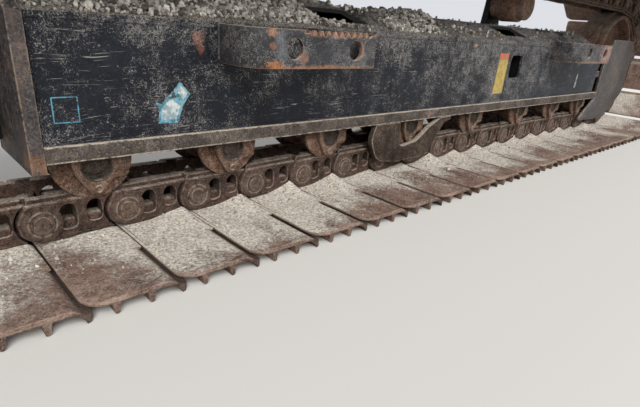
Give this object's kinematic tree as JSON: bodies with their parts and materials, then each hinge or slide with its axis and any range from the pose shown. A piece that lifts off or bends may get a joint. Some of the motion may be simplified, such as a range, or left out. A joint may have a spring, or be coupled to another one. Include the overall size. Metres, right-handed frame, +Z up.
{
  "type": "excavator track unit",
  "caption": "One side of a crawler excavator's undercarriage: side frame, rollers, idler, sprocket, final drive and the shoe track around them.",
  "frame": {"origin": "on the ground under the middle of the whole unit", "axes": "+X along the track towards the idler, +Y towards the machine's centre, +Z up"},
  "size_m": [4.7217, 0.8, 0.8798],
  "materials": {
    "frame_paint": "blue-black paint, scratched and dusty",
    "worn_bar": "worn dark paint with brown rust and dust",
    "guard_paint": "smooth dark grey paint",
    "step_paint": "black paint with orange rust at the edges",
    "roller_rust": "dry brown rust with caked dust",
    "chain_rust": "dry red-brown rust",
    "shoe_rust": "red-brown rust under dried mud",
    "pin_steel": "dull worn steel",
    "spring_steel": "dark greasy steel"
  },
  "bodies": {
    "frame": {"side_plate_outer": "frame_paint", "side_plate_inner": "frame_paint", "roof": "frame_paint", "frame_floor": "frame_paint", "roller_seats": "frame_paint", "edge_bars": "worn_bar", "end_plate": "worn_bar", "drive_bracket": "frame_paint", "leg_pads": "frame_paint", "guide_rails": "worn_bar", "end_guards": "guard_paint", "centre_guards": "roller_rust", "steps": "step_paint", "roller_shells": "roller_rust", "roller_shafts": "pin_steel", "roller_collars": "roller_rust", "carrier_rollers": "roller_rust", "carrier_brackets": "frame_paint", "sprocket": "chain_rust", "drive_hub": "frame_paint", "drive_motor": "frame_paint", "spring_seat": "frame_paint", "recoil_spring": "spring_steel", "adjuster_cylinder": "spring_steel", "track_pins": "chain_rust", "track_links": "chain_rust", "track_shoes": "shoe_rust"},
    "yoke": {"adjuster_rod": "pin_steel", "yoke": "frame_paint", "bearing_blocks": "guard_paint", "idler_shaft": "pin_steel"},
    "idler": {"idler_wheel": "roller_rust"}
  },
  "joints": [
    {"name": "idler_slide", "type": "slide", "parent": "frame", "child": "yoke", "axis": [1, 0, 0], "range_m": [-0.08, 0]},
    {"name": "idler_spin", "type": "hinge", "parent": "yoke", "child": "idler", "pos_m": [1.93273, 0, 0.439], "axis": [0, 1, 0], "continuous": true}
  ]
}
